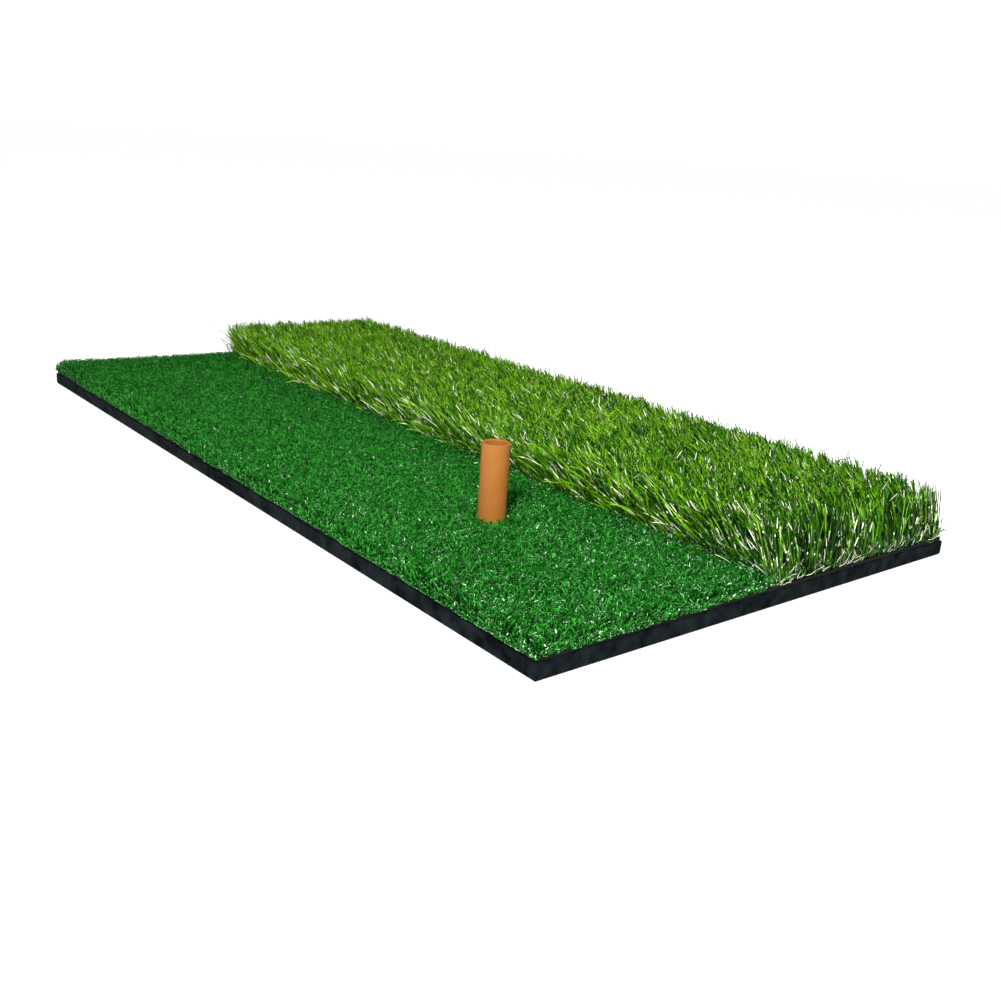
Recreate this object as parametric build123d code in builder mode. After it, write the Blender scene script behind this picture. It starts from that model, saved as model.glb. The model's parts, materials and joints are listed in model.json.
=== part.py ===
from build123d import *
import os

# Golf hitting mat: two strips of artificial turf glued on a rubber sheet, with a
# hollow rubber tee that is pushed up through the short turf from underneath.
#
# All sizes are in millimetres. The origin is the centre of the underside. +Y runs
# along the long side, +X runs from the short turf to the long turf, and +Z is up.

os.makedirs("parts", exist_ok=True)

# Base sheet
mat_width = 300.0
mat_length = 600.0
base_thickness = 8.0
base_edge_break = 0.5

# Turf panels, both cut a little short of the base's edges and butted at the seam
panel_inset = 1.0
seam_x = 0.0
glue_thickness = 0.3
latex_thickness = 1.0
primary_thickness = 0.5

# Pile
fairway_pile_height = 7.0
fairway_pile_edge_radius = 1.5
thatch_height = 11.0
rough_pile_height = 28.0
rough_side_lean = 6.0
rough_edge_radius = 6.0
rough_end_chamfer = 4.0

# Tee: a tube with a flange at its foot
tee_x = -71.5
tee_y = -168.5
tee_height = 58.0
tee_outer_radius = 7.5
tee_bore_radius = 5.5
tee_rim_rounding = 0.4
tee_rim_bevel = 0.5
tee_root_fillet = 1.0
flange_radius = 22.0
flange_thickness = 3.0
flange_edge_rounding = 0.6

# Clearances around the tee
base_hole_clearance = 0.3
turf_hole_clearance = 0.5
recess_clearance = 1.0
lead_in = 1.4

# Derived sizes
panel_length = mat_length - 2 * panel_inset
fairway_edge_x = -mat_width / 2 + panel_inset
rough_edge_x = mat_width / 2 - panel_inset
pile_foot = base_thickness + glue_thickness + latex_thickness + primary_thickness
thatch_top = pile_foot + thatch_height
rough_top = pile_foot + rough_pile_height
base_hole_radius = tee_outer_radius + base_hole_clearance
turf_hole_radius = tee_outer_radius + turf_hole_clearance
recess_radius = flange_radius + recess_clearance
recess_depth = flange_thickness
tee_place = (tee_x, tee_y)

# Base sheet, with the tee's hole, the flange's recess under it, and a lead-in
# between the two that clears the fillet at the foot of the tee's tube
with BuildPart() as base_sheet:
    with BuildSketch(Plane.XY):
        Rectangle(mat_width, mat_length)
    extrude(amount=base_thickness)
    outer_edges = base_sheet.faces().filter_by(Axis.Z).edges()
    chamfer(outer_edges, length=base_edge_break)
    with BuildSketch(Plane.XY):
        with Locations(tee_place):
            Circle(base_hole_radius)
    extrude(amount=base_thickness, mode=Mode.SUBTRACT)
    with BuildSketch(Plane.XY):
        with Locations(tee_place):
            Circle(recess_radius)
    extrude(amount=recess_depth, mode=Mode.SUBTRACT)
    hole_mouth = (
        base_sheet.edges()
        .filter_by(GeomType.CIRCLE)
        .filter_by(lambda edge: abs(edge.radius - base_hole_radius) < 0.01)
        .sort_by(Axis.Z)[0]
    )
    chamfer(hole_mouth, length=lead_in)
base_sheet.part.label = "base_sheet"
export_step(base_sheet.part, "parts/base_sheet.step")

# The flat layers under the pile of each turf panel, from the base up. The short
# turf's layers are punched for the tee.
panels = [
    ("fairway", fairway_edge_x, seam_x, True),
    ("rough", seam_x, rough_edge_x, False),
]
layers = [
    ("glue_film", glue_thickness),
    ("latex_coat", latex_thickness),
    ("primary_backing", primary_thickness),
]
for panel_name, low_x, high_x, is_punched in panels:
    layer_foot = base_thickness
    for layer_name, layer_thickness in layers:
        with BuildPart() as layer:
            with BuildSketch(Plane.XY.offset(layer_foot)):
                with Locations(((low_x + high_x) / 2, 0)):
                    Rectangle(high_x - low_x, panel_length)
                if is_punched:
                    with Locations(tee_place):
                        Circle(turf_hole_radius, mode=Mode.SUBTRACT)
            extrude(amount=layer_thickness)
        layer.part.label = f"{panel_name}_{layer_name}"
        export_step(layer.part, f"parts/{panel_name}_{layer_name}.step")
        layer_foot += layer_thickness

# Short pile, as the solid block that its standing yarn fills
with BuildPart() as fairway_pile:
    with BuildSketch(Plane.XY.offset(pile_foot)):
        with Locations(((fairway_edge_x + seam_x) / 2, 0)):
            Rectangle(seam_x - fairway_edge_x, panel_length)
        with Locations(tee_place):
            Circle(turf_hole_radius, mode=Mode.SUBTRACT)
    extrude(amount=fairway_pile_height)
    top_edges = fairway_pile.edges().group_by(Axis.Z)[-1].filter_by(GeomType.LINE)
    open_edges = top_edges.sort_by(Axis.X)[:-1]
    fillet(open_edges, radius=fairway_pile_edge_radius)
fairway_pile.part.label = "fairway_pile"
export_step(fairway_pile.part, "parts/fairway_pile.step")

# Curled yarn at the roots of the long turf, as the block that it fills
with BuildPart() as rough_thatch_pile:
    with BuildSketch(Plane.XY.offset(pile_foot)):
        with Locations(((seam_x + rough_edge_x) / 2, 0)):
            Rectangle(rough_edge_x - seam_x, panel_length)
    extrude(amount=thatch_height)
rough_thatch_pile.part.label = "rough_thatch_pile"
export_step(rough_thatch_pile.part, "parts/rough_thatch_pile.step")

# Long blades above the curled yarn. Their block leans out over the short turf and
# is rounded along its top edges, as blades with no neighbours fall outwards.
with BuildPart() as rough_blade_pile:
    with BuildSketch(Plane.XZ.offset(-panel_length / 2)) as blade_section:
        with BuildLine():
            Polyline(
                (seam_x, thatch_top),
                (rough_edge_x, thatch_top),
                (rough_edge_x, rough_top),
                (seam_x - rough_side_lean, rough_top),
                close=True,
            )
        make_face()
        top_corners = blade_section.vertices().group_by(Axis.Y)[-1]
        fillet(top_corners, radius=rough_edge_radius)
    extrude(amount=panel_length)
    end_edges = (
        rough_blade_pile.edges()
        .filter_by(Axis.X)
        .group_by(Axis.Z)[-1]
    )
    chamfer(end_edges, length=rough_end_chamfer)
rough_blade_pile.part.label = "rough_blade_pile"
export_step(rough_blade_pile.part, "parts/rough_blade_pile.step")

# Tee, turned as one moulding: flange, tube, rounded rim and through bore
with BuildPart() as tee:
    with BuildSketch(Plane.XY):
        with Locations(tee_place):
            Circle(flange_radius)
    extrude(amount=flange_thickness)
    with BuildSketch(Plane.XY):
        with Locations(tee_place):
            Circle(tee_outer_radius)
    extrude(amount=tee_height)
    round_edges = tee.edges().filter_by(GeomType.CIRCLE)
    root_edge = round_edges.filter_by(
        lambda edge: abs(edge.radius - tee_outer_radius) < 0.01
        and abs(edge.center().Z - flange_thickness) < 0.01
    )
    flange_edge = round_edges.filter_by(
        lambda edge: abs(edge.radius - flange_radius) < 0.01
        and abs(edge.center().Z - flange_thickness) < 0.01
    )
    rim_edge = round_edges.sort_by(Axis.Z)[-1]
    fillet(root_edge, radius=tee_root_fillet)
    fillet(flange_edge, radius=flange_edge_rounding)
    fillet(rim_edge, radius=tee_rim_rounding)
    with BuildSketch(Plane.XY):
        with Locations(tee_place):
            Circle(tee_bore_radius)
    extrude(amount=tee_height, mode=Mode.SUBTRACT)
    bore_mouth = (
        tee.edges()
        .filter_by(GeomType.CIRCLE)
        .filter_by(lambda edge: abs(edge.radius - tee_bore_radius) < 0.01)
        .sort_by(Axis.Z)[-1]
    )
    chamfer(bore_mouth, length=tee_rim_bevel)
tee.part.label = "tee"
export_step(tee.part, "parts/tee.step")
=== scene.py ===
import json
import math
from types import SimpleNamespace
import bpy
import numpy as np
from mathutils import Matrix, Vector


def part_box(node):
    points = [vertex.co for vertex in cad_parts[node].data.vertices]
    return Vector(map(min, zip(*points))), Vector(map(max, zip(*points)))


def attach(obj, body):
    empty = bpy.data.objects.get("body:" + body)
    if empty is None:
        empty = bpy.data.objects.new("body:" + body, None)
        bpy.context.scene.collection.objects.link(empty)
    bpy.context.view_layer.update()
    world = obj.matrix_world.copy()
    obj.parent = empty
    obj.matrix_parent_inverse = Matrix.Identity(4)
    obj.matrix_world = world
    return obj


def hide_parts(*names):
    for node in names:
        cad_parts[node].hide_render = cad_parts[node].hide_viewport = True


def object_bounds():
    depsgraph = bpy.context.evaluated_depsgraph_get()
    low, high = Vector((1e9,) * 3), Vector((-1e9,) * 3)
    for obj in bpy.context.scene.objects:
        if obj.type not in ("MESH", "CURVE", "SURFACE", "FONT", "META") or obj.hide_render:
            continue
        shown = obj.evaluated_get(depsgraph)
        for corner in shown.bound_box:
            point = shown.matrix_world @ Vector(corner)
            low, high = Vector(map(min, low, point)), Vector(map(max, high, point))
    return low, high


# Golf hitting mat: the yarn of both turf strips, the materials of the CAD pieces,
# and a plain white studio. Lengths are in metres, in the CAD's own frame.

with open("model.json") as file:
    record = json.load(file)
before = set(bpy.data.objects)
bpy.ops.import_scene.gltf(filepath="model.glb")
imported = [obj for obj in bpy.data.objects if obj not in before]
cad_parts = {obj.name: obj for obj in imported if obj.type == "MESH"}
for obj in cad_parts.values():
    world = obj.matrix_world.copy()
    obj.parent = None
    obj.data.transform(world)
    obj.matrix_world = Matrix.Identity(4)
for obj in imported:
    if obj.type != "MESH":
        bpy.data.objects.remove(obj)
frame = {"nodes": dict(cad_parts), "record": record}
cad_low, cad_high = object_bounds()

MM = 0.001
FULL_TURN = 2 * math.pi
BODY = "mat"

# Each fibre's UV map holds its look. Across the map is its shade of green. Up the map, painted
# light and shade run from none to FULL_LIGHT over LIGHT_SHARE of the height, and pale spots lie
# above: the pale yarn's own colour, and painted glints.
UV_LAYER = "OFBake"
FULL_LIGHT = 1.6
LIGHT_SHARE = 0.8
PALE_FROM = LIGHT_SHARE + 0.04
PALE_FULL = LIGHT_SHARE + 0.12
PALE_PLACE = 0.97

# Sections of a fibre, as multiples of its half width: a flat tape and a ridged blade
TAPE = [(-1, 0), (1, 0)]
BLADE = [(-1, -0.10), (1, -0.10), (0, 0.26)]

# ---------------------------------------------------------------- places

base_low, base_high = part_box("base_sheet")
fairway_low, fairway_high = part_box("fairway_pile")
thatch_low, thatch_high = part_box("rough_thatch_pile")
_, blade_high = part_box("rough_blade_pile")
bore = next(m for m in frame["record"]["mounts"] if m["name"] == "tee_bore")
tee_axis = np.array(bore["pos_m"][:2])
tee_points = np.array([v.co for v in frame["nodes"]["tee"].data.vertices])
tee_shaft = tee_points[tee_points[:, 2] > fairway_high.z]
tee_radius = np.linalg.norm(tee_shaft[:, :2] - tee_axis, axis=1).max()


# ---------------------------------------------------------------- fibres

def centre_lines(roots, lengths, tilts, headings, shares):
    """Lines that start at roots and run through one step for each tilt and heading.

    tilts are angles from upright and headings are compass angles, both in radians,
    one row per fibre and one column per step. shares says where along the fibre's
    length each step ends.
    """
    steps = lengths[:, None] * np.diff(shares, prepend=0.0)[None, :]
    ways = np.stack([
        np.sin(tilts) * np.cos(headings),
        np.sin(tilts) * np.sin(headings),
        np.cos(tilts),
    ], axis=-1)
    runs = np.cumsum(ways * steps[..., None], axis=1)
    points = np.concatenate([roots[:, None, :], roots[:, None, :] + runs], axis=1)
    return points


def directions_of(points):
    """The unit direction of each line at each of its points."""
    ways = np.gradient(points, axis=1)
    return ways / np.maximum(np.linalg.norm(ways, axis=-1, keepdims=True), 1e-12)


def section_axes(ways, headings, twists):
    """Two unit vectors across each fibre at each of its points, turned by twists."""
    flat = np.stack([-np.sin(headings), np.cos(headings), np.zeros_like(headings)], axis=-1)
    flat = flat - ways * (flat * ways).sum(-1, keepdims=True)
    flat /= np.maximum(np.linalg.norm(flat, axis=-1, keepdims=True), 1e-9)
    other = np.cross(ways, flat)
    cos, sin = np.cos(twists)[..., None], np.sin(twists)[..., None]
    return cos * flat + sin * other, cos * other - sin * flat


def fibre_mesh(name, points, axes, half_widths, section, shades, light):
    """One mesh that holds a section swept along each line.

    section is a list of corners, as multiples of the half width along the two axes.
    Two corners make a flat tape, and three or more make a closed blade with crisp
    ridges and capped ends. The UV map holds each fibre's shade, and the light and shade painted on
    it at each point.
    """
    count, rings = points.shape[:2]
    corners = len(section)
    across, out = axes
    spread = np.array(section)
    at = (
        points[:, :, None, :]
        + across[:, :, None, :] * (half_widths[..., None] * spread[:, 0])[..., None]
        + out[:, :, None, :] * (half_widths[..., None] * spread[:, 1])[..., None]
    )
    index = np.arange(count * rings * corners).reshape(count, rings, corners)
    sides = [(0, 1)] if corners == 2 else [(c, (c + 1) % corners) for c in range(corners)]
    quads = np.concatenate([
        np.stack([
            index[:, :-1, a], index[:, :-1, b], index[:, 1:, b], index[:, 1:, a],
        ], axis=-1).reshape(-1, 4)
        for a, b in sides
    ])
    loops = quads.ravel()
    sizes = np.full(len(quads), 4)
    if corners > 2:
        caps = np.concatenate([index[:, 0, ::-1], index[:, -1, :]])
        loops = np.concatenate([loops, caps.ravel()])
        sizes = np.concatenate([sizes, np.full(len(caps), corners)])
    mesh = bpy.data.meshes.new(name)
    mesh.vertices.add(index.size)
    mesh.vertices.foreach_set("co", at.astype(np.float32).ravel())
    mesh.loops.add(len(loops))
    mesh.loops.foreach_set("vertex_index", loops.astype(np.int32))
    mesh.polygons.add(len(sizes))
    mesh.polygons.foreach_set("loop_start", (np.cumsum(sizes) - sizes).astype(np.int32))
    mesh.polygons.foreach_set("use_smooth", np.ones(len(sizes), bool))
    width_in_map = 0.006
    beside = np.linspace(-0.5, 0.5, corners) * width_in_map
    u = np.clip(shades[:, None, None] + beside[None, None, :], 0.001, 0.999)
    v = np.broadcast_to(light[:, :, None], index.shape)
    place = np.stack([np.broadcast_to(u, index.shape), v], axis=-1).reshape(-1, 2)
    layer = mesh.uv_layers.new(name=UV_LAYER)
    layer.data.foreach_set("uv", place[loops].astype(np.float32).ravel())
    mesh.update(calc_edges=True)
    if corners > 2:
        ends = np.empty(len(mesh.edges) * 2, np.int32)
        mesh.edges.foreach_get("vertices", ends)
        ridge = (ends[0::2] - ends[1::2]) % corners == 0
        sharp = mesh.attributes.new("sharp_edge", "BOOLEAN", "EDGE")
        sharp.data.foreach_set("value", ridge)
    mesh.validate()
    return mesh


def keep_off_tee(points, gap):
    """Moves the points that lie in or against the tee straight out from its axis."""
    away = points[..., :2] - tee_axis
    distance = np.maximum(np.linalg.norm(away, axis=-1, keepdims=True), 1e-9)
    pushed = tee_axis + away / distance * (tee_radius + gap)
    points[..., :2] = np.where(distance < tee_radius + gap, pushed, points[..., :2])


def tufts(rng, low, high, gauge, stitch, jitter, per_tuft, spread):
    """Roots of yarn in tufts on a sewn grid, and the number of each root's tuft."""
    columns = int(round((high[0] - low[0]) / gauge))
    rows = int(round((high[1] - low[1]) / stitch))
    x, y = np.meshgrid(
        low[0] + (np.arange(columns) + 0.5) * (high[0] - low[0]) / columns,
        low[1] + (np.arange(rows) + 0.5) * (high[1] - low[1]) / rows,
        indexing="ij",
    )
    centres = np.stack([x.ravel(), y.ravel()], axis=-1)
    centres += rng.uniform(-jitter, jitter, centres.shape)
    tuft = np.repeat(np.arange(len(centres)), per_tuft)
    angle = rng.uniform(0, FULL_TURN, len(tuft))
    radius = spread * np.sqrt(rng.uniform(0, 1, len(tuft)))
    roots = centres[tuft] + np.stack([np.cos(angle), np.sin(angle)], axis=-1) * radius[:, None]
    inset = 0.2 * MM
    roots = np.clip(roots, np.array(low[:2]) + inset, np.array(high[:2]) - inset)
    return roots, tuft


def edge_roots(rng, low, high, edges, per_mm, depth, inset, crowding):
    """Extra roots just inside some edges of a turf, closest together at the edge.

    Each edge is the axis that it faces along, 0 or 1, and its side, -1 or 1.
    """
    rows = []
    for axis, side in edges:
        along = 1 - axis
        run = high[along] - low[along]
        count = int(run / MM * per_mm)
        row = np.empty((count, 2))
        row[:, along] = low[along] + rng.uniform(0, 1, count) * run
        inward = inset + depth * rng.uniform(0, 1, count) ** crowding
        row[:, axis] = low[axis] + inward if side < 0 else high[axis] - inward
        rows.append(row)
    return np.concatenate(rows)


def nearness(distance, reach):
    """1 at an edge, falling off with the distance from it."""
    return np.exp(-np.maximum(distance, 0) / reach)


def smooth_noise(rng, places, low, high, cell):
    """Soft random patches, about one cell across, from -1 to 1, at each place."""
    span = np.array(high[:2]) - np.array(low[:2])
    size = np.maximum(np.ceil(span / cell).astype(int) + 2, 2)
    grid = rng.uniform(-1, 1, size)
    at = (places - np.array(low[:2])) / cell
    cell_index = np.clip(np.floor(at).astype(int), 0, size - 2)
    part = np.clip(at - cell_index, 0, 1)
    part = part * part * (3 - 2 * part)
    i, j = cell_index[:, 0], cell_index[:, 1]
    a = grid[i, j] * (1 - part[:, 0]) + grid[i + 1, j] * part[:, 0]
    b = grid[i, j + 1] * (1 - part[:, 0]) + grid[i + 1, j + 1] * part[:, 0]
    return a * (1 - part[:, 1]) + b * part[:, 1]


def light_values(painted_light, is_pale_or_glint):
    """Where in the UV map each point lies, for the light and shade painted on it, and whether it
    takes the pale colour of pale yarn and painted glints.
    """
    lit = np.clip(painted_light / FULL_LIGHT, 0.01, 1) * LIGHT_SHARE
    return np.where(is_pale_or_glint, PALE_PLACE, lit)


def lay_pile(
    name, points, headings, twists, half_widths, section, shades, light, material,
    pieces, node,
):
    """Makes a pile of yarn as some pieces, cut across the mat, in place of a CAD node."""
    ways = directions_of(points)
    headings = np.concatenate([headings[:, :1], headings], axis=1)
    across, out = section_axes(ways, headings, twists)
    order = np.argsort(points[:, 0, 1], kind="stable")
    for number, chosen in enumerate(np.array_split(order, pieces), start=1):
        piece_name = f"{name}_{number}"
        mesh = fibre_mesh(
            piece_name, points[chosen], (across[chosen], out[chosen]),
            half_widths[chosen], section, shades[chosen], light[chosen],
        )
        mesh.materials.append(material)
        piece = bpy.data.objects.new(piece_name, mesh)
        bpy.context.scene.collection.objects.link(piece)
        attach(piece, BODY)
        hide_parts(node)


# ---------------------------------------------------------------- materials

def new_material(name):
    """A material with a Principled shader, and its node tree and shader."""
    material = bpy.data.materials.new(name)
    material.use_nodes = True
    tree = material.node_tree
    shader = next(n for n in tree.nodes if n.type == "BSDF_PRINCIPLED")
    return material, tree, shader


def ramp(tree, value, stops):
    """A colour ramp that reads value. stops are (position, linear RGB)."""
    node = tree.nodes.new("ShaderNodeValToRGB")
    elements = node.color_ramp.elements
    while len(elements) < len(stops):
        elements.new(0.5)
    for element, (position, colour) in zip(elements, stops):
        element.position = position
        element.color = (*colour, 1.0)
    tree.links.new(value, node.inputs["Fac"])
    return node.outputs["Color"]


def mix(tree, first, second, factor=None, blend="MIX"):
    """Two colours mixed by factor, or fully blended where there is no factor."""
    node = tree.nodes.new("ShaderNodeMix")
    node.data_type = "RGBA"
    node.blend_type = blend
    node.inputs["Factor"].default_value = 1.0
    if factor is not None:
        tree.links.new(factor, node.inputs["Factor"])
    tree.links.new(first, node.inputs["A"])
    tree.links.new(second, node.inputs["B"])
    return node.outputs["Result"]


def fibre_material(name, shades, pale, roughness, specular):
    """Yarn whose colour follows its UV map: its shade across it, and up it its painted light and
    shade, then the pale colour of pale yarn and painted glints.
    """
    material, tree, shader = new_material(name)
    uv = tree.nodes.new("ShaderNodeUVMap")
    uv.uv_map = UV_LAYER
    split = tree.nodes.new("ShaderNodeSeparateXYZ")
    tree.links.new(uv.outputs["UV"], split.inputs["Vector"])
    body = ramp(tree, split.outputs["X"], shades)
    full = (FULL_LIGHT, FULL_LIGHT, FULL_LIGHT)
    # painted light and shade, read up the map
    light = ramp(tree, split.outputs["Y"], [(0.0, (0.0, 0.0, 0.0)), (LIGHT_SHARE, full)])
    # pale spots above that: the pale yarn's own colour, and painted glints
    is_pale_or_glint = ramp(tree, split.outputs["Y"], [
        (PALE_FROM, (0.0, 0.0, 0.0)),
        (PALE_FULL, (1.0, 1.0, 1.0)),
    ])
    pale_and_glint_colour = ramp(tree, split.outputs["X"], [(0.0, pale), (1.0, pale)])
    lit = mix(tree, body, light, blend="MULTIPLY")
    tree.links.new(mix(tree, lit, pale_and_glint_colour, is_pale_or_glint), shader.inputs["Base Color"])
    shader.inputs["Roughness"].default_value = roughness
    shader.inputs["Specular IOR Level"].default_value = specular
    return material


def calculate(tree, operation, first, second=0.0):
    """The result of a Math node. second is a number or another node's output."""
    node = tree.nodes.new("ShaderNodeMath")
    node.operation = operation
    tree.links.new(first, node.inputs[0])
    if isinstance(second, float):
        node.inputs[1].default_value = second
    else:
        tree.links.new(second, node.inputs[1])
    return node.outputs["Value"]


def noise(tree, place, scale, detail):
    """Fractal noise at each place, from 0 to 1."""
    node = tree.nodes.new("ShaderNodeTexNoise")
    node.inputs["Scale"].default_value = scale
    node.inputs["Detail"].default_value = detail
    tree.links.new(place, node.inputs["Vector"])
    return node.outputs["Fac"]


def add_relief(tree, shader, height, distance, strength=1.0):
    """Bumps on a shader's surface, distance high where height is 1."""
    bump = tree.nodes.new("ShaderNodeBump")
    bump.inputs["Distance"].default_value = distance
    bump.inputs["Strength"].default_value = strength
    tree.links.new(height, bump.inputs["Height"])
    tree.links.new(bump.outputs["Normal"], shader.inputs["Normal"])


def mottled_material(name, colours, scale, roughness, bump_scale, bump_height, specular=0.5):
    """Rubber, latex or glue: a soft mottle in the colour and a fine grain in relief."""
    material, tree, shader = new_material(name)
    place = tree.nodes.new("ShaderNodeTexCoord").outputs["Object"]
    low, high = colours
    mottle = noise(tree, place, scale, detail=6.0)
    colour = ramp(tree, mottle, [(0.35, low), (0.65, high)])
    tree.links.new(colour, shader.inputs["Base Color"])
    grain = noise(tree, place, bump_scale, detail=4.0)
    add_relief(tree, shader, grain, distance=bump_height, strength=0.6)
    shader.inputs["Roughness"].default_value = roughness
    shader.inputs["Specular IOR Level"].default_value = specular
    return material


def woven_material(name, colours, pitch):
    """Plain woven tape: threads both ways in the colour and in relief."""
    scale_at_one_metre = 0.314
    material, tree, shader = new_material(name)
    place = tree.nodes.new("ShaderNodeTexCoord").outputs["Object"]
    threads = []
    for direction in ("X", "Y"):
        wave = tree.nodes.new("ShaderNodeTexWave")
        wave.bands_direction = direction
        wave.inputs["Scale"].default_value = scale_at_one_metre / pitch
        wave.inputs["Distortion"].default_value = 0.6
        tree.links.new(place, wave.inputs["Vector"])
        threads.append(wave.outputs["Color"])
    weave = mix(tree, threads[0], threads[1], blend="MULTIPLY")
    low, high = colours
    colour = ramp(tree, weave, [(0.1, low), (0.8, high)])
    tree.links.new(colour, shader.inputs["Base Color"])
    add_relief(tree, shader, weave, distance=0.15 * MM)
    shader.inputs["Roughness"].default_value = 0.85
    shader.inputs["Specular IOR Level"].default_value = 0.08
    return material


def dress(node, material):
    """Gives a CAD node a better material in its own slots."""
    for slot in frame["nodes"][node].material_slots:
        slot.material = material


# ---------------------------------------------------------------- short turf

def fairway_roots(rng):
    """Roots of the short pile: tufts clear of the tee, then extra yarn at the open edges."""
    roots, tuft = tufts(
        rng, fairway_low, fairway_high,
        gauge=3.7 * MM, stitch=3.0 * MM, jitter=0.5 * MM, per_tuft=14, spread=1.8 * MM,
    )
    off_tee = np.linalg.norm(roots - tee_axis, axis=1) > tee_radius + 0.3 * MM
    extra = edge_roots(
        rng, fairway_low, fairway_high, [(0, -1), (1, -1), (1, 1)],
        per_mm=5, depth=3.0 * MM, inset=0.1 * MM, crowding=1.5,
    )
    extra_tuft = np.arange(len(extra)) + tuft.max() + 1
    roots = np.concatenate([roots[off_tee], extra])
    tuft = np.concatenate([tuft[off_tee], extra_tuft])
    return roots, tuft


def fairway_lines(rng, roots, shares):
    """Crimped centre lines of the short yarn, hooked over at the top, and their headings."""
    count = len(roots)
    steps = shares[1:]
    height = fairway_high.z - fairway_low.z
    swing = rng.uniform(0.2, 0.7, count)
    pace = rng.uniform(0.9, 1.9, count)
    phase = rng.uniform(0, FULL_TURN, count)
    hook = rng.uniform(0.0, 1.1, count)
    brushed = np.abs(smooth_noise(rng, roots, fairway_low, fairway_high, 11 * MM))
    tilts = (
        (np.abs(rng.normal(0.0, 0.14, count)) + 0.25 * brushed)[:, None]
        + swing[:, None] * np.sin(FULL_TURN * pace[:, None] * steps + phase[:, None])
        + hook[:, None] * np.clip((steps - 0.6) / 0.4, 0, 1)
    )
    start = rng.uniform(0, FULL_TURN, count)
    headings = start[:, None] + rng.uniform(-4.0, 4.0, count)[:, None] * steps
    lengths = rng.normal(height * 1.37, height * 0.10, count)
    base = np.column_stack([roots, np.full(count, fairway_low.z)])
    points = centre_lines(base, lengths, tilts, headings, steps)
    set_fairway_height(rng, roots, points, height)
    roll_over_edges(rng, points)
    keep_off_tee(points, 0.35 * MM)
    return points, headings


def set_fairway_height(rng, roots, points, height):
    """Scales each short yarn to the pile's height, and a little more by the tee and far left."""
    rise = points[..., 2] - fairway_low.z
    tops = np.maximum(rise.max(axis=1), 1 * MM)
    by_tee = nearness(np.linalg.norm(roots - tee_axis, axis=1) - tee_radius, 3 * MM)
    far_left = (
        nearness(fairway_high.y - roots[:, 1], 50 * MM)
        * nearness(roots[:, 0] - fairway_low.x, 60 * MM)
    )
    reach = height * (rng.uniform(0.88, 1.18, len(roots)) + 0.15 * by_tee + 0.35 * far_left)
    points[..., 2] = fairway_low.z + np.maximum(rise * (reach / tops)[:, None], 0.0)


def roll_over_edges(rng, points):
    """Turns the short pile's outermost yarn outwards, so that its edges are rounded.

    Yarn is turned about its root and shortened, the more the nearer it is to an edge,
    in ragged patches. Each edge's pass lets the yarn past that edge sink towards the
    rubber, but the passes after it lift it to the backing's top again, so in the end
    none lies lower than that.
    """
    rolled_width = 3.4 * MM
    far_corner = nearness(fairway_high.y - points[:, 0, 1], 70 * MM)
    ragged = smooth_noise(rng, points[:, 0, :2], fairway_low, fairway_high, 4 * MM)[:, None]
    freedom = rng.uniform(0.6, 1.6, (len(points), 1)) + ragged
    overhang = np.maximum(freedom, 0.15) * MM
    droop = np.clip(1.4 + 1.4 * ragged, 0.2, 2.6) * MM
    # axis and side of the edge, the backing's and the rubber's edge, the turn in
    # radians, the least lift off the rubber in this pass, and the share of the overhang
    edges = [
        (0, -1, fairway_low.x, base_low.x, 2.2, 0.1 * MM, 1.35),
        (1, -1, fairway_low.y, base_low.y, 1.4, 1.2 * MM, 0.80),
        (1, 1, fairway_high.y, base_high.y, 1.0, 1.0 * MM, 1.00),
    ]
    for axis, side, edge, base_edge, turn, lift, overhang_share in edges:
        limit = overhang_share * overhang
        distance = side * (edge - points[:, 0, axis])
        pull = np.clip(1 - distance / rolled_width, 0, 1)
        pull = pull * rng.uniform(0.75, 1.0, len(distance))
        angle = (turn * pull * (1 - 0.6 * far_corner * (axis == 0)))[:, None]
        angle *= 1.05 + 0.25 * ragged
        root = points[:, :1, axis]
        out = side * (points[..., axis] - root) * (1 - 0.6 * pull)[:, None]
        rise = (points[..., 2] - fairway_low.z) * (1 - 0.6 * pull)[:, None]
        points[..., axis] = root + side * (out * np.cos(angle) + rise * np.sin(angle))
        points[..., 2] = fairway_low.z + rise * np.cos(angle) - out * np.sin(angle)
        past = np.maximum(side * (points[..., axis] - edge), 0)
        points[..., axis] -= side * (past - limit * (1 - np.exp(-past / limit)))
        ground = np.where(past > 0, base_high.z + lift, fairway_low.z)
        off_base = side * (points[..., axis] - base_edge) > 0.1 * MM
        points[..., 2] = np.maximum(points[..., 2], ground - droop * off_base)


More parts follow.
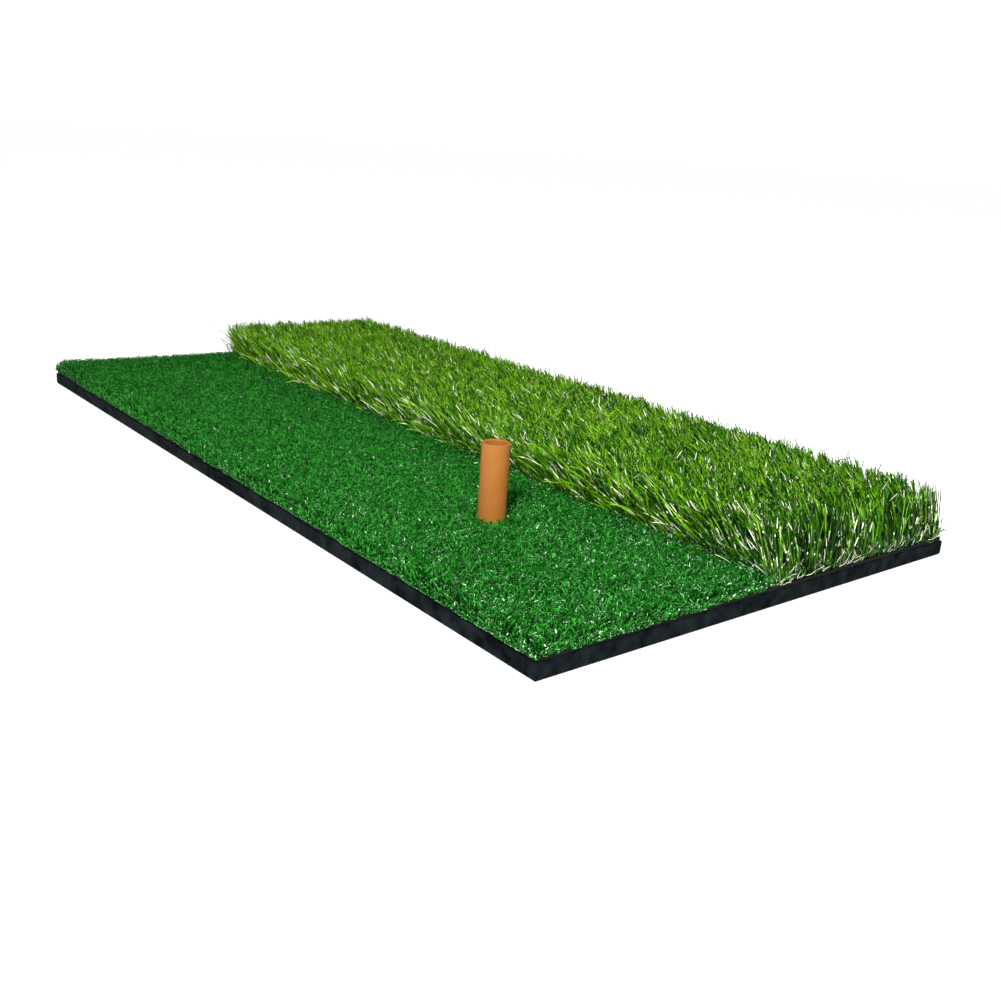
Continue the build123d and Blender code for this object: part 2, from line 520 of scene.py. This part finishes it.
def fairway_looks(rng, roots, tuft, shares):
    """Each short yarn's shade, and the light and shade painted on it at each of its points, with
    painted glints at some tips.
    """
    count = len(roots)
    patches = smooth_noise(rng, roots, fairway_low, fairway_high, 18 * MM)
    tuft_tone = rng.normal(0, 0.07, tuft.max() + 1)[tuft]
    far_part = nearness(fairway_high.y - roots[:, 1], 100 * MM)
    # painted shade: shades darker towards the far end
    shades = rng.beta(1.2, 1.3, count) + 0.05 * patches + tuft_tone + 0.03 - 0.13 * far_part
    shades = np.clip(shades, 0.01, 0.99)
    toward_camera = nearness(roots[:, 1] - fairway_low.y, 160 * MM)
    clusters = smooth_noise(rng, roots, fairway_low, fairway_high, 9 * MM) > 0.25
    from_open_edge = np.minimum(roots[:, 0] - fairway_low.x, roots[:, 1] - fairway_low.y)
    at_edge = nearness(from_open_edge, 2 * MM)
    at_seam = nearness(fairway_high.x - roots[:, 0], 22 * MM)
    # painted glints at some tips: in clusters, at the open edges and by the seam, most towards the
    # near end
    glint_chance = (0.07 + 0.22 * clusters + 0.36 * at_edge + 0.08 * at_seam) * toward_camera
    has_painted_glint = rng.uniform(0, 1, count) < glint_chance
    pale_from = rng.choice([0.75, 0.9], count, p=[0.12, 0.88])
    # painted shade towards the roots and painted light at the tips, with random light and shade at
    # each point
    along = np.interp(shares, [0.0, 0.6, 1.0], [0.20, 0.72, 1.30])
    painted_light = along * rng.uniform(0.60, 1.30, (count, len(shares)))
    # painted shade at random points, more towards the near end and by the seam
    painted_shade_chance = (0.07 + 0.11 * toward_camera + 0.10 * at_seam)[:, None]
    in_painted_shade = rng.uniform(0, 1, painted_light.shape) < painted_shade_chance
    painted_light *= np.where(in_painted_shade, 0.25, 1.07)
    # painted shadow of the long turf along the seam
    painted_light *= (1 - 0.08 * at_seam)[:, None]
    is_pale_or_glint = has_painted_glint[:, None] & (shares > pale_from[:, None])
    return shades, light_values(painted_light, is_pale_or_glint)


def make_fairway():
    """The short pile: crimped tape yarn in close tufts."""
    rng = np.random.default_rng(seed=11)
    roots, tuft = fairway_roots(rng)
    count = len(roots)
    shares = np.linspace(0, 1, 7)
    points, headings = fairway_lines(rng, roots, shares)
    twists = rng.uniform(0, math.pi, count)[:, None] + rng.uniform(-4, 4, count)[:, None] * shares
    taper = np.where(shares > 0.95, 0.6, 1.0)
    half_widths = rng.uniform(0.17, 0.30, count)[:, None] * MM * taper
    shades, light = fairway_looks(rng, roots, tuft, shares)
    material = fibre_material(
        "fairway_yarn",
        shades=[
            (0.0, (0.004, 0.060, 0.005)),
            (0.5, (0.020, 0.190, 0.017)),
            (1.0, (0.044, 0.325, 0.036)),
        ],
        # pale is the colour of the painted glints at the yarn's tips
        pale=(0.76, 0.92, 0.74),
        roughness=0.30,
        specular=0.09,
    )
    lay_pile(
        "fairway_yarn", points, headings, twists, half_widths, TAPE, shades, light, material,
        pieces=8, node="fairway_pile",
    )


# ---------------------------------------------------------------- long turf

def long_turf_roots(rng, per_tuft, spread, edge_per_mm, edge_depth):
    """Roots in the long turf's tufts, then extra ones at the seam and the near end."""
    roots, tuft = tufts(
        rng, thatch_low, thatch_high,
        gauge=7.6 * MM, stitch=5.4 * MM, jitter=1.5 * MM, per_tuft=per_tuft, spread=spread,
    )
    extra = edge_roots(
        rng, thatch_low, thatch_high, [(0, -1), (1, -1)],
        per_mm=edge_per_mm, depth=edge_depth, inset=0.2 * MM, crowding=1.3,
    )
    extra_per_tuft = 8
    extra_tuft = tuft.max() + 1 + np.arange(len(extra)) // extra_per_tuft
    return np.concatenate([roots, extra]), np.concatenate([tuft, extra_tuft])


def blade_zones(roots):
    """How near each blade is to the long turf's edges and ends, from 0 to 1."""
    from_seam = roots[:, 0] - thatch_low.x
    from_side = thatch_high.x - roots[:, 0]
    from_near_end = roots[:, 1] - thatch_low.y
    from_far_end = thatch_high.y - roots[:, 1]
    side = nearness(from_side, 8 * MM)
    near_end = nearness(from_near_end, 5 * MM)
    far_end = nearness(from_far_end, 20 * MM)
    near_corner = nearness(np.hypot(from_side, from_near_end) - 8 * MM, 14 * MM)
    return SimpleNamespace(
        seam=nearness(from_seam, 5 * MM),
        seam_band=nearness(from_seam, 11 * MM),
        side=side,
        near_end=near_end,
        far_end=far_end,
        near_half=nearness(from_near_end, 60 * MM),
        far_half=nearness(from_far_end, 50 * MM),
        far_part=nearness(from_far_end, 140 * MM),
        toward_camera=nearness(from_near_end, 170 * MM),
        held_up=np.maximum.reduce([side, 0.75 * near_end, far_end, near_corner]),
    )


def blade_leans(rng, roots, tuft, zones):
    """Each blade's slope in x and y, the patches' swirl, and which are short or floppy.

    Blades lie over along the mat with its nap, and vary by patch, tuft and blade. At
    the seam they fall out over the short turf. At the other edges they stand up.
    """
    count, tuft_count = len(roots), tuft.max() + 1
    nap = np.array([-0.06, 0.42])
    swirl = np.column_stack([
        smooth_noise(rng, roots, thatch_low, thatch_high, 15 * MM) for _ in range(2)
    ])
    lean = (
        nap
        + 0.24 * swirl
        + rng.normal(0, 0.22, (tuft_count, 2))[tuft]
        + rng.normal(0, 0.13, (count, 2))
    )
    lean *= (1 - 0.8 * zones.held_up)[:, None]
    lean[:, 0] += -0.28 * zones.seam * (1 - 0.8 * zones.far_half) - 0.32 * zones.side
    lean[:, 1] += (
        0.15 * zones.seam * (1 - zones.held_up) - 0.08 * zones.near_end - 0.12 * zones.far_end
    )
    short = rng.uniform(0, 1, count) < 0.80 * zones.seam + 0.45 * zones.near_end
    spilled = short & (rng.uniform(0, 1, count) < zones.seam)
    spill = rng.uniform(0.1, 0.9, spilled.sum())
    lean[spilled, 0] -= spill * (1 - 0.6 * zones.far_half[spilled])
    floppy = rng.uniform(0, 1, count) < 0.14 * zones.seam * zones.near_half
    lean[floppy, 0] -= rng.uniform(0.4, 1.3, floppy.sum())
    lean[:, 0] = np.clip(lean[:, 0], -1.6, 0.45 - 0.35 * zones.side)
    lean[:, 1] = np.clip(lean[:, 1], -0.5 + 0.45 * zones.near_end, 1.0)
    return lean, swirl, short, floppy


def blade_lines(rng, roots, tuft, zones, shares):
    """Centre lines of the long blades, their headings, and which are floppy."""
    count, tuft_count = len(roots), tuft.max() + 1
    steps = shares[1:]
    lean, swirl, short, floppy = blade_leans(rng, roots, tuft, zones)
    slope = np.hypot(lean[:, 0], lean[:, 1])
    tilt = np.arctan(slope)
    heading = np.arctan2(lean[:, 1], lean[:, 0])
    inner = 1 - zones.held_up
    bend = np.abs(rng.normal(0.10, 0.30, count)) * (0.4 + 0.6 * inner) + 0.15 * slope
    tilts = tilt[:, None] * 0.8 + bend[:, None] * steps[None, :] ** 1.6
    drift = rng.normal(0, 0.6, tuft_count)[tuft] + rng.normal(0, 0.35, count)
    headings = heading[:, None] + (drift * (0.2 + 0.8 * inner))[:, None] * steps
    height = blade_high.z - thatch_low.z
    upright_share = (np.cos(tilts) * np.diff(shares)).sum(axis=1)
    reach = rng.normal(1.03, 0.06, count) + 0.03 * swirl[:, 0]
    lengths = height * reach / np.maximum(upright_share, 0.66)
    lengths[floppy] *= rng.uniform(0.35, 0.75, floppy.sum())
    lengths[short] *= rng.uniform(0.25, 0.85, short.sum())
    base = np.column_stack([roots, np.full(count, thatch_low.z)])
    return centre_lines(base, lengths, tilts, headings, steps), headings, floppy


def painted_blade_light(rng, zones, shares):
    """Painted light and shade along each blade: painted shade at the feet inside the pile and at
    the near end, none elsewhere.
    """
    seen = np.maximum.reduce([zones.seam_band, zones.near_end, zones.side, zones.far_end])[:, None]
    # painted shade low in the pile and painted light at the tips, less of both where the blades
    # are seen from outside
    inside = np.interp(shares, [0.0, 0.4, 0.7, 1.0], [0.04, 0.10, 0.44, 1.50])
    outside = np.interp(shares, [0.0, 0.4, 0.7, 1.0], [0.80, 0.85, 0.95, 1.25])
    painted_shade_at_foot = np.interp(shares, [0.0, 0.2, 0.4], [0.85, 0.35, 0.0])
    painted_light = inside * (1 - seen) + outside * seen
    painted_light = painted_light * (1 + 0.20 * zones.toward_camera)[:, None]
    # painted shade at the tips along the side and far end, painted light along the seam band, a
    # little painted shade at the near end
    painted_light *= 1 - 0.4 * np.maximum(zones.side, zones.far_end)[:, None] * shares
    painted_light *= (1 + 0.5 * zones.seam_band - 0.15 * zones.near_end)[:, None]
    # painted shade at the feet at the near end
    painted_light *= 1 - zones.near_end[:, None] * painted_shade_at_foot
    # random painted light and shade at each point
    return painted_light * rng.uniform(0.10, 1.80, painted_light.shape)


def blade_glints(rng, roots, zones, rings):
    """Which points of the blades are pale spots of painted glint, and which lie beside one, in
    painted shade.
    """
    count = len(roots)
    clusters = 0.5 + 0.5 * smooth_noise(rng, roots, thatch_low, thatch_high, 10 * MM)
    chance = clusters * (0.48 + 0.50 * zones.toward_camera)
    chance = chance + 0.50 * zones.seam_band + 0.10 * zones.near_end
    chance *= 1 - 0.65 * zones.far_part
    # painted glints: pale spots in clusters, most by the seam and towards the near end, fewest at
    # the far part
    has_glint = rng.uniform(0, 1, count) < chance
    at_foot = rng.uniform(0, 1, count) < 0.7 * np.maximum(zones.seam, zones.near_end)
    low_ring = rng.integers(0, 4, count)
    high_ring = rng.integers(2, rings - 1, count)
    first = np.where(at_foot, low_ring, high_ring)
    is_long = rng.uniform(0, 1, count) < 0.22 + 0.13 * zones.toward_camera
    last = first + is_long
    ring = np.arange(rings)
    inside = (ring >= first[:, None]) & (ring <= last[:, None])
    beside = (ring == first[:, None] - 1) | (ring == last[:, None] + 1)
    return has_glint[:, None] & inside, has_glint[:, None] & beside


def blade_looks(rng, roots, tuft, zones, shares, floppy):
    """Each blade's shade, and at each of its points its painted light and shade, with painted
    glints in pale spots and the floppy blades pale all along.
    """
    patches = smooth_noise(rng, roots, thatch_low, thatch_high, 14 * MM)
    tuft_tone = rng.normal(0, 0.10, tuft.max() + 1)[tuft]
    shades = 0.10 + 0.92 * rng.beta(0.8, 0.9, len(roots)) - 0.30 * zones.toward_camera
    shades = np.clip(shades + 0.13 * patches + tuft_tone, 0.01, 0.99)
    painted_light = painted_blade_light(rng, zones, shares)
    in_glint, shaded_by_glint = blade_glints(rng, roots, zones, len(shares))
    # painted shade beside each painted glint, and a little painted light elsewhere
    painted_light *= np.where(shaded_by_glint, 1 - 0.80 * zones.toward_camera[:, None], 1.08)
    return shades, light_values(painted_light, in_glint | floppy[:, None])


def make_rough_blades():
    """The long pile: broad ridged blades in tufts, lying over along the mat."""
    rng = np.random.default_rng(seed=23)
    roots, tuft = long_turf_roots(
        rng, per_tuft=19, spread=2.1 * MM, edge_per_mm=1.6, edge_depth=2.5 * MM,
    )
    count, tuft_count = len(roots), tuft.max() + 1
    shares = np.array([0.0, 0.2, 0.4, 0.55, 0.7, 0.85, 1.0])
    taper = np.array([0.8, 1.0, 1.0, 1.0, 1.0, 0.95, 0.75])
    zones = blade_zones(roots)
    points, headings, floppy = blade_lines(rng, roots, tuft, zones, shares)
    facing = rng.uniform(0, math.pi, tuft_count)[tuft] + rng.normal(0, 0.8, count)
    twists = facing[:, None] + rng.normal(0, 1.5, count)[:, None] * shares
    half_widths = rng.uniform(0.26, 0.42, count) * MM
    half_widths *= 1 - 0.25 * zones.seam_band - 0.15 * zones.near_end
    half_widths[floppy] *= 0.65
    shades, light = blade_looks(rng, roots, tuft, zones, shares, floppy)
    material = fibre_material(
        "rough_blades",
        shades=[
            # the darkest shades, near black, are partly the yarn's own dark green and partly
            # painted shade for the gaps between blades
            (0.0, (0.002, 0.024, 0.001)),
            (0.10, (0.010, 0.080, 0.003)),
            (0.27, (0.036, 0.165, 0.003)),
            (0.60, (0.126, 0.316, 0.005)),
            (1.0, (0.212, 0.442, 0.020)),
        ],
        # pale is the colour of the painted glints and of the pale floppy blades
        pale=(0.90, 0.93, 0.72),
        roughness=0.34,
        specular=0.10,
    )
    lay_pile(
        "rough_blades", points, headings, twists, half_widths[:, None] * taper, BLADE,
        shades, light, material,
        pieces=9, node="rough_blade_pile",
    )


def thatch_lines(rng, roots, near_end, seam, pale, shares):
    """Curled centre lines of the thatch and their headings. Pale strands are straighter."""
    count = len(roots)
    steps = shares[1:]
    lean = rng.normal(0, 0.35, (count, 2)) + np.column_stack([-0.15 * seam, -0.15 * near_end])
    lean[pale] += rng.normal(0, 0.6, (pale.sum(), 2))
    slope = np.hypot(lean[:, 0], lean[:, 1])
    swing = rng.uniform(0.3, 1.2, count) * np.where(pale, 0.4, 1.0)
    pace = rng.uniform(0.5, 1.5, count)
    phase = rng.uniform(0, FULL_TURN, count)
    crimp = swing[:, None] * np.sin(FULL_TURN * pace[:, None] * steps + phase[:, None])
    tilts = np.arctan(slope)[:, None] + crimp
    curl = rng.uniform(-4, 4, count) * np.where(pale, 0.2, 1.0)
    headings = np.arctan2(lean[:, 1], lean[:, 0])[:, None] + curl[:, None] * steps
    lengths = rng.normal(13 * MM, 2.5 * MM, count) * np.where(pale, 0.65, 1 - 0.5 * near_end)
    base = np.column_stack([roots, np.full(count, thatch_low.z)])
    points = centre_lines(base, lengths, tilts, headings, steps)
    points[:, 1:, 2] = np.maximum(points[:, 1:, 2], thatch_low.z + 0.3 * MM)
    return points, headings


def thatch_looks(rng, near_end, seam, pale, shares):
    """Each thatch yarn's shade, and the light and shade painted on it, or its pale colour, at each
    of its points.
    """
    count = len(pale)
    shades = rng.beta(1.6, 2.2, count)
    # painted shade towards the roots, with random light and shade at each point
    along = np.interp(shares, [0.0, 0.4, 1.0], [0.25, 0.8, 1.0])
    painted_shade_at_foot = np.interp(shares, [0.0, 0.3], [0.8, 0.0])
    painted_light = along * rng.uniform(0.6, 1.2, (count, len(shares)))
    # painted light at the seam, and painted shade at the feet at the near end
    painted_light *= (1 + 1.2 * seam)[:, None]
    painted_light *= 1 - near_end[:, None] * painted_shade_at_foot
    pale_from = np.where(near_end > seam, 0.2, -1.0)
    is_pale_or_glint = pale[:, None] & (shares > pale_from[:, None])
    return shades, light_values(painted_light, is_pale_or_glint)


def make_rough_thatch():
    """The curled yarn round the roots of the long blades, palest where it shows at the edges."""
    rng = np.random.default_rng(seed=37)
    roots, _ = long_turf_roots(
        rng, per_tuft=6, spread=3.0 * MM, edge_per_mm=3, edge_depth=4.0 * MM,
    )
    count = len(roots)
    shares = np.linspace(0, 1, 10)
    near_end = nearness(roots[:, 1] - thatch_low.y, 4 * MM)
    seam = nearness(roots[:, 0] - thatch_low.x, 4 * MM)
    pale = rng.uniform(0, 1, count) < 0.24 * seam + 0.34 * near_end + 0.03
    points, headings = thatch_lines(rng, roots, near_end, seam, pale, shares)
    twists = rng.uniform(0, math.pi, count)[:, None] + rng.uniform(-2, 2, count)[:, None] * shares
    taper = np.where(shares > 0.95, 0.6, 1.0)
    half_widths = rng.uniform(0.16, 0.30, count)[:, None] * MM * taper
    half_widths[pale] *= 0.55
    shades, light = thatch_looks(rng, near_end, seam, pale, shares)
    material = fibre_material(
        "rough_thatch",
        shades=[
            (0.0, (0.010, 0.055, 0.005)),
            (0.5, (0.026, 0.135, 0.010)),
            (1.0, (0.090, 0.260, 0.025)),
        ],
        pale=(0.80, 0.79, 0.62),
        roughness=0.40,
        specular=0.20,
    )
    lay_pile(
        "rough_thatch", points, headings, twists, half_widths, TAPE, shades, light, material,
        pieces=2, node="rough_thatch_pile",
    )


# ---------------------------------------------------------------- CAD pieces

def dress_cad():
    """Materials for the rubber, the layers under the turf, and the tee."""
    dress("base_sheet", mottled_material(
        "base_rubber", ((0.0004, 0.0014, 0.0022), (0.0085, 0.0125, 0.0140)),
        scale=110.0, roughness=0.85, bump_scale=900.0, bump_height=0.0004, specular=0.03,
    ))
    latex = mottled_material(
        "latex_coat", ((0.004, 0.004, 0.005), (0.010, 0.010, 0.012)),
        scale=200.0, roughness=0.8, bump_scale=1200.0, bump_height=0.0004, specular=0.10,
    )
    glue = mottled_material(
        "turf_glue", ((0.0025, 0.0025, 0.0025), (0.0080, 0.0078, 0.0074)),
        scale=120.0, roughness=0.5, bump_scale=400.0, bump_height=0.0003, specular=0.15,
    )
    woven = woven_material(
        "woven_backing", ((0.003, 0.005, 0.003), (0.010, 0.015, 0.010)), pitch=1.4 * MM,
    )
    for panel in ("fairway", "rough"):
        dress(f"{panel}_latex_coat", latex)
        dress(f"{panel}_glue_film", glue)
        dress(f"{panel}_primary_backing", woven)
    dress("tee", mottled_material(
        "tee_rubber", ((0.362, 0.128, 0.019), (0.382, 0.139, 0.022)),
        scale=160.0, roughness=0.55, bump_scale=1100.0, bump_height=0.00025, specular=0.35,
    ))


# ---------------------------------------------------------------- studio

def make_floor():
    """A wide white floor just under the mat, which glows a little except under the mat."""
    reach = 30.0
    below = cad_low.z - 0.2 * MM
    glow_beside_mat = 0.7
    mesh = bpy.data.meshes.new("floor")
    corners = [(-reach, -reach), (reach, -reach), (reach, reach), (-reach, reach)]
    mesh.from_pydata([(x, y, below) for x, y in corners], [], [(0, 1, 2, 3)])
    floor = bpy.data.objects.new("floor", mesh)
    bpy.context.scene.collection.objects.link(floor)
    material, tree, shader = new_material("floor")
    shader.inputs["Base Color"].default_value = (0.88, 0.88, 0.88, 1.0)
    shader.inputs["Roughness"].default_value = 0.9
    shader.inputs["Specular IOR Level"].default_value = 0.0
    shader.inputs["Emission Color"].default_value = (1.0, 1.0, 1.0, 1.0)
    place = tree.nodes.new("ShaderNodeTexCoord")
    split = tree.nodes.new("ShaderNodeSeparateXYZ")
    tree.links.new(place.outputs["Object"], split.inputs["Vector"])
    beside = [
        calculate(tree, "GREATER_THAN", calculate(tree, "ABSOLUTE", split.outputs[axis]), edge)
        for axis, edge in (("X", cad_high.x), ("Y", cad_high.y))
    ]
    is_open = calculate(tree, "MAXIMUM", beside[0], beside[1])
    glow = calculate(tree, "MULTIPLY", is_open, glow_beside_mat)
    tree.links.new(glow, shader.inputs["Emission Strength"])
    mesh.materials.append(material)


def add_softbox(name, place, target, size, power):
    """A square area light at place that faces target."""
    light = bpy.data.lights.new(name, "AREA")
    light.shape = "SQUARE"
    light.size = size
    light.energy = power
    lamp = bpy.data.objects.new(name, light)
    lamp.location = place
    lamp.visible_camera = False
    lamp.rotation_mode = "QUATERNION"
    lamp.rotation_quaternion = (Vector(target) - Vector(place)).to_track_quat("-Z", "Y")
    bpy.context.scene.collection.objects.link(lamp)


def make_lights():
    """A soft white backdrop, a key above the camera's left, and a weak fill at its right."""
    light_of_backdrop, look_of_backdrop = 0.34, 1.05
    world = bpy.data.worlds.new("studio")
    world.use_nodes = True
    tree = world.node_tree
    background = next(n for n in tree.nodes if n.type == "BACKGROUND")
    background.inputs["Color"].default_value = (1.0, 1.0, 1.0, 1.0)
    ray = tree.nodes.new("ShaderNodeLightPath")
    level = tree.nodes.new("ShaderNodeMapRange")
    level.inputs["To Min"].default_value = light_of_backdrop
    level.inputs["To Max"].default_value = look_of_backdrop
    tree.links.new(ray.outputs["Is Camera Ray"], level.inputs["Value"])
    tree.links.new(level.outputs["Result"], background.inputs["Strength"])
    bpy.context.scene.world = world
    target = Vector((0.0, cad_low.y / 2, 0.0))
    add_softbox("key", (-0.78, -0.72, 0.78), target, size=0.26, power=19.0)
    add_softbox("fill", (0.55, -1.10, 0.50), target, size=0.60, power=4.0)


def make_camera():
    """The camera, placed from the mat's near corner, looking down and a little rolled."""
    near_corner = Vector((cad_low.x, cad_low.y, cad_low.z))
    from_corner = Vector((-0.2651, -0.2931, 0.2027))
    heading, drop, roll = math.radians(50.57), math.radians(17.87), math.radians(3.88)
    ahead = Vector((
        math.cos(heading) * math.cos(drop),
        math.sin(heading) * math.cos(drop),
        -math.sin(drop),
    ))
    level = ahead.cross(Vector((0, 0, 1))).normalized()
    upright = level.cross(ahead)
    right = level * math.cos(roll) + upright * math.sin(roll)
    up = right.cross(ahead)
    turn = Matrix((right, up, -ahead)).transposed()
    data = bpy.data.cameras.new("camera")
    data.sensor_width = 36.0
    data.lens = 39.3
    data.clip_start = 0.01
    data.clip_end = 100.0
    camera = bpy.data.objects.new("camera", data)
    camera.location = near_corner + from_corner
    camera.rotation_mode = "QUATERNION"
    camera.rotation_quaternion = turn.to_quaternion()
    bpy.context.scene.collection.objects.link(camera)
    bpy.context.scene.camera = camera


make_camera()
make_lights()
make_floor()
bpy.context.scene.view_settings.view_transform = "Standard"

dress_cad()
make_fairway()
make_rough_blades()
make_rough_thatch()
